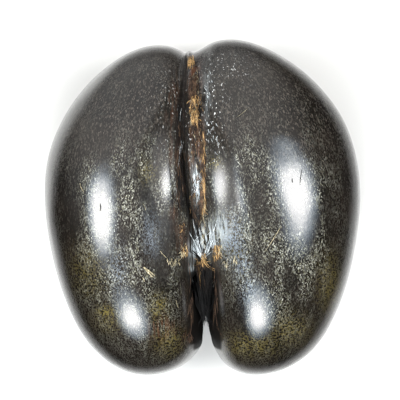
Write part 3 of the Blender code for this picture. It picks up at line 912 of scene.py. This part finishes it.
def shell_material():
    """Polished black-brown shell: olive and grey flecks along the grain, rust by the seam, fine scratches,
    painted shade in the cleft and crease, painted sheen and glints by the highlights.
    """
    material = bpy.data.materials.new("polished_shell")
    nodes = Nodes(material)
    place = nodes.place()
    grain = nodes.field("grain", "Vector")
    dull = nodes.field("dull")
    cleft = nodes.field("cleft")
    salt = nodes.cells_along(grain, *SALT)
    grit = nodes.cells_along(grain, *GRIT)
    strands = nodes.noise_along(grain, *STRANDS)
    mottle = nodes.noise_along(grain, *MOTTLE)
    clouds = nodes.noise(place, *CLOUDS)
    pepper = nodes.noise(place, *PEPPER)
    strokes = 0.0
    for name, _ in GRAINS:
        lines = nodes.noise_along(nodes.field(name, "Vector"), *STROKES)
        strokes = nodes.math("MAXIMUM", nodes.ramp(lines, *STROKES_SHOW), strokes)

    # Flecks follow wear, thinned out as painted shade on steep sides and in shaded places
    amount = nodes.times(nodes.ramp(mottle, *MOTTLE_SHOWS), nodes.ramp(nodes.field("wear_and_shade"), *WEAR_AND_SHADE_SHOWS))
    flecks = nodes.math("MAXIMUM", nodes.ramp(salt, *SALT_SHOWS), nodes.times(strokes, STROKE_STRENGTH))
    flecks = nodes.times(flecks, amount)
    colour = nodes.tint(nodes.ramp(clouds, *CLOUDS_SHOW), *GROUND)
    strength, tone = STRAND_BROWN
    colour = nodes.tint(nodes.times(nodes.ramp(strands, *STRANDS_SHOW), strength), colour, tone)
    colour = nodes.tint(nodes.times(nodes.ramp(grit, *GRIT_SHOWS), nodes.field("fine")), colour, GRIT_BROWN)
    tone = nodes.tint(nodes.ramp(pepper, *PEPPER_SHOWS), *FLECK_TONES)
    colour = nodes.tint(nodes.times(flecks, FLECK_STRENGTH), colour, tone)
    patterns = {"pepper": pepper, "strands": strands, "salt": salt}
    for field, pattern, shows, strength, tone in SOFT_PLACES:
        share = nodes.times(nodes.field(field), nodes.ramp(patterns[pattern], *shows), strength)
        colour = nodes.tint(share, colour, tone)
    # white specks of dust, partly painted glints
    specks = nodes.ramp(nodes.noise(nodes.stretch(place, SPECK_STRETCH), *SPECKS), *SPECKS_SHOW)
    colour = nodes.tint(nodes.times(nodes.field("dust_and_glints"), specks), colour, SPECK_WHITE)
    # Painted shade: near black over the cleft and the crease
    strength, tone = CLEFT_AND_CREASE_SHADE
    nodes.set("Base Color", nodes.tint(nodes.times(cleft, strength), colour, tone))

    rough = nodes.times(nodes.math("MAXIMUM", dull, cleft), DULL_ROUGHNESS)
    nodes.set("Roughness", nodes.math("MAXIMUM", nodes.ramp(flecks, *FLECK_ROUGHNESS), rough))
    nodes.set("Specular IOR Level", SHELL_SPECULAR)
    nodes.set("Coat Weight", nodes.times(nodes.ramp(dull, *DULL_COAT), nodes.ramp(cleft, *CLEFT_COAT)))
    nodes.set("Coat Roughness", COAT_ROUGHNESS)
    nodes.set("Coat IOR", COAT_IOR)
    low = nodes.bump(mottle, *MOTTLE_BUMP)
    nodes.set("Normal", nodes.bump(flecks, *FLECK_BUMP, low))
    nodes.set("Coat Normal", nodes.bump(nodes.noise_along(grain, *FINE_LINES), *FINE_BUMP, low))
    return material


def fibre_material(name, dark, light, rough):
    """Plant fibre whose colour varies from strand to strand and along each strand."""
    material = bpy.data.materials.new(name)
    nodes = Nodes(material)
    place = nodes.place()
    strand = nodes.noise(nodes.stretch(place, FIBRE_STRETCH), FIBRE_GRAIN)
    patch = nodes.noise(place, FIBRE_PATCH)
    share = nodes.times(nodes.ramp(strand, *FIBRE_SHOWS), nodes.ramp(patch, *PATCH_SHOWS))
    nodes.set("Base Color", nodes.tint(share, dark, light))
    nodes.set("Specular IOR Level", FIBRE_SPECULAR)
    spread = (rough - ROUGHNESS_SPREAD, rough + ROUGHNESS_SPREAD)
    nodes.set("Roughness", nodes.ramp(strand, *ROUGHNESS_SHOWS, *spread))
    nodes.set("Normal", nodes.bump(strand, *FIBRE_BUMP))
    return material


def fibre_object(name, strands, material):
    """Tapered fibres as one curve object, from lists of (point, radius); the shortest ones are left out."""
    curve = bpy.data.curves.new(name, "CURVE")
    curve.dimensions = "3D"
    curve.bevel_depth = 1.0
    curve.bevel_resolution = 0
    curve.use_fill_caps = True
    for strand in strands:
        if len(strand) < LEAST_POINTS:
            continue
        spline = curve.splines.new("POLY")
        spline.points.add(len(strand) - 1)
        for knot, (point, radius) in zip(spline.points, strand):
            knot.co = (*point, 1.0)
            knot.radius = radius
        spline.use_smooth = True
    curve.materials.append(material)
    return link(name, curve)


class Skin:
    """The finished shell's surface, to lay fibres on."""

    def __init__(self, shell):
        graph = bpy.context.evaluated_depsgraph_get()
        self.tree = BVHTree.FromObject(shell, graph)

    def under(self, pixel):
        """The point and normal that the camera sees through a pixel."""
        point, normal, _, _ = self.tree.ray_cast(*sight(pixel))
        return point, normal

    def laid(self, chance, start, turn, length, radius, lift, steps=LAID_STEPS):
        """A fibre that lies on the skin from a pixel, turned from the photograph's downward direction."""
        pixel = Vector(start)
        strand = []
        for step in range(steps):
            share = step / (steps - 1)
            point, normal = self.under(pixel)
            if point is None:
                break
            rise = lift * math.sin(math.pi * share) + radius * FIBRE_SEAT
            thick = radius * (1 - TAPER * abs(2 * share - 1) ** TAPER_POWER)
            strand.append((point + normal * rise, thick))
            turn += chance.gauss(0.0, HUSK_BEND) * min(1.0, STRAIGHT_LENGTH / length)
            pixel = pixel + Vector((math.sin(turn), math.cos(turn))) * (length / (steps - 1))
        return strand


def husk_strands(skin, chance, patches):
    """Fibres of husk strewn over patches of the seam."""
    for middle, level, half_width, half_height, count, length, radius, lift in patches:
        radius, lift = radius / MICRONS, lift / MICRONS
        for _ in range(count):
            start = (
                middle + half_width * chance.uniform(-1, 1),
                level + half_height * chance.uniform(-1, 1),
            )
            turn = chance.gauss(0.0, HUSK_TURN) * min(1.0, STRAIGHT_LENGTH / length)
            reach = length * chance.uniform(*HUSK_LENGTHS)
            yield skin.laid(chance, start, turn, reach, radius * chance.uniform(*HUSK_RADII), lift)


def single_strands(skin, chance, fibres):
    """Single loose fibres, each laid from one pixel to another."""
    for first, last, radius, lift in fibres:
        step = Vector(last) - Vector(first)
        turn = math.atan2(step.x, step.y)
        yield skin.laid(chance, first, turn, step.length, radius / MICRONS, lift / MICRONS, SINGLE_STEPS)


def fanned_strands(skin, chance, fans):
    """Fibres that lie on the skin and point away from one place."""
    for column, row, first, last, count, nearest, farthest, radius, lift in fans:
        radius, lift = radius / MICRONS, lift / MICRONS
        for _ in range(count):
            turn = chance.uniform(first, last)
            near = nearest * chance.uniform(*FAN_STARTS)
            start = (column + math.sin(turn) * near, row + math.cos(turn) * near)
            reach = max(FAN_LEAST, (farthest - near) * chance.uniform(*FAN_LENGTHS))
            yield skin.laid(chance, start, turn, reach, radius * chance.uniform(*HUSK_RADII), lift)


def draped_strands(skin, chance, count):
    """Fibres rooted above the cleft that hang over its top and into it."""
    for _ in range(count):
        pixel = (chance.uniform(*DRAPE_COLUMNS), chance.uniform(*DRAPE_ROWS))
        root, normal = skin.under(pixel)
        length = chance.uniform(*DRAPE_LENGTH)
        fall = chance.uniform(*DRAPE_FALL)
        lean = (CLEFT_X - root.x) * chance.uniform(*DRAPE_LEAN) + chance.gauss(0.0, DRAPE_STRAY)
        thick = chance.uniform(*BRISTLE_RADIUS) * DRAPE_THINNESS
        strand = []
        for step in range(BRISTLE_STEPS + 1):
            share = step / BRISTLE_STEPS
            drop = Vector((lean * share, -length * share, DRAPE_ARCH * share - fall * share ** DRAPE_CURL))
            strand.append((root + normal * DRAPE_SEAT + drop, thick * (1 - TAPER * share)))
        yield strand


def cleft_room(y, least, gap):
    """How far from the cleft's middle a bristle may stand at this y, with this gap to the wall."""
    shares = np.linspace(0.0, 1.0, CLEFT_SAMPLES)
    along = blend(CLEFT_ALONG, shares)
    return max(least, float(np.interp(-y, -along, blend(CLEFT_HALF_WIDTH, shares))) - gap)


def bristle_strands(chance):
    """Bristles that fill the cleft, rooted in its walls and frayed towards its mouth."""
    for _ in range(BRISTLE_COUNT):
        root_y = between(*BRISTLE_ROOTS, chance.random() ** ROOT_CROWDING)
        x = CLEFT_X + cleft_room(root_y, *ROOT_ROOM) * chance.uniform(-1, 1)
        z = between(*BRISTLE_LEVELS, chance.random() ** LEVEL_CROWDING)
        tip_y = between(*BRISTLE_TIPS, chance.random())
        lean = chance.gauss(0.0, BRISTLE_STRAY)
        rise = chance.uniform(*BRISTLE_RISE)
        thick = chance.uniform(*BRISTLE_RADIUS)
        phase = chance.uniform(0, 2 * math.pi)
        strand = []
        for step in range(BRISTLE_STEPS + 1):
            share = step / BRISTLE_STEPS
            y = between(root_y, tip_y, share)
            wide = cleft_room(y, *BRISTLE_ROOM) if y > CLEFT_MOUTH else MOUTH_ROOM
            side = between(x, CLEFT_X + (x - CLEFT_X) * BRISTLE_GATHER, share) + lean * share
            side += BRISTLE_WAVE * math.sin(BRISTLE_BENDS * share + phase) * share
            side = min(CLEFT_X + wide, max(CLEFT_X - wide, side))
            level = z + rise * share - BRISTLE_SAG * share * share
            strand.append(((side, y, level), thick * (1 - TAPER * share)))
        yield strand


def add_light(name, location, size, roll, radiance, core, glossy):
    """A soft oval light that faces the nut: even out to its core, then fading and bluer to its rim."""
    data = bpy.data.lights.new(name, "AREA")
    data.shape = "ELLIPSE"
    data.size, data.size_y = size
    data.energy = radiance * math.pi * math.pi / 4 * size[0] * size[1]
    if core < 1:
        nodes = Nodes(data, "Emission")
        place = nodes.add("ShaderNodeNewGeometry").outputs["Parametric"]
        across = nodes.math("DISTANCE", place, LIGHT_MIDDLE, kind="ShaderNodeVectorMath")
        stops = [
            (between(core, 1.0, along) / 2, [share * part for part in tone])
            for along, share, tone in LIGHT_FALL
        ]
        nodes.set("Color", nodes.gradient(across, stops, "B_SPLINE"))
    item = link(name, data)
    item.location = location
    facing = (Vector(LIGHT_TARGET) - Vector(location)).to_track_quat("-Z", "Y")
    item.rotation_euler = (facing @ Quaternion((0.0, 0.0, 1.0), math.radians(roll))).to_euler()
    item.visible_camera = False
    item.visible_glossy = glossy


def add_sky():
    """A dark studio that is paler above the nut's top."""
    world = bpy.data.worlds.new("studio")
    bpy.context.scene.world = world
    nodes = Nodes(world, "Background")
    direction = nodes.add("ShaderNodeTexCoord").outputs["Generated"]
    toward = nodes.math("DOT_PRODUCT", direction, SKY_TOWARD, kind="ShaderNodeVectorMath")
    nodes.set("Color", nodes.gradient(nodes.ramp(toward, *SKY_SPAN), SKY_TONES))


def floor_part(name, inner, outer, material):
    """A flat part of the floor between two rims, each a list of radii round the nut."""
    turns = [2 * math.pi * step / len(inner) for step in range(len(inner))]
    mesh = bpy.data.meshes.new(name)
    with reshaping(mesh) as shape:
        near, far = (
            [
                shape.verts.new((reach * math.cos(turn), reach * math.sin(turn), FLOOR_LEVEL))
                for reach, turn in zip(reaches, turns)
            ]
            for reaches in (inner, outer)
        )
        for index in range(len(inner)):
            shape.faces.new((near[index - 1], far[index - 1], far[index], near[index]))
    mesh.materials.append(material)
    item = link(name, mesh)
    return item


def add_stage():
    """The pale floor, the soft lights and the camera."""
    material = bpy.data.materials.new("pale_floor")
    nodes = Nodes(material)
    nodes.set("Base Color", nodes.tint(nodes.noise(nodes.place(), FLOOR_GRAIN), *FLOOR_TONES))
    nodes.set("Roughness", FLOOR_ROUGHNESS)
    nodes.set("Specular IOR Level", FLOOR_SPECULAR)
    near = np.interp(np.arange(FLOOR_SIDES) * 360 / FLOOR_SIDES, FLOOR_AZIMUTHS, FLOOR_REACHES)
    near[::2] *= 1 + FLOOR_TEETH
    near[1::2] *= 1 - FLOOR_TEETH
    floor_part("floor", near * FLOOR_HOLE, near, material)
    far = np.full_like(near, FAR_RADIUS)
    floor_part("far_floor", near, far, material).visible_glossy = False

    for light in LIGHTS:
        add_light(*light)
    add_sky()
    bpy.context.scene.view_settings.view_transform = "Standard"

    data = bpy.data.cameras.new("camera")
    data.sensor_width = SENSOR
    data.lens = SENSOR * CAMERA_HEIGHT / (PHOTO_SIDE * METRES_PER_PIXEL)
    camera = link("camera", data)
    camera.location = photo_frame()[2]
    camera.rotation_euler = (0.0, 0.0, -CAMERA_TURN)
    bpy.context.scene.camera = camera


def dress(piece, node):
    """Let a piece ride on the nut and stand for a node, whose own part is hidden."""
    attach(piece, "root")
    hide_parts(node)


def main():
    shell = grow_shell()
    round_edges(shell)
    carve_relief(shell)
    mark_fields(shell)
    shell.data.shade_smooth()
    shell.data.materials.clear()
    shell.data.materials.append(shell_material())
    dress(shell, "nut")

    skin = Skin(shell)
    chance = random.Random(SEED)
    black = fibre_material("black_bristle", *BRISTLE_COLOURS, BRISTLE_ROUGHNESS)
    dress(fibre_object("cleft_bristles", bristle_strands(chance), black), "cleft_fibre_tuft")
    for name, colours, patches, fibres, fans in HUSK:
        material = fibre_material(name, *colours, HUSK_ROUGHNESS)
        strands = [
            *husk_strands(skin, chance, patches),
            *single_strands(skin, chance, fibres),
            *fanned_strands(skin, chance, fans),
            *draped_strands(skin, chance, DRAPES.get(name, 0)),
        ]
        dress(fibre_object(name, strands, material), "seam_husk_fibre")

    add_stage()


main()
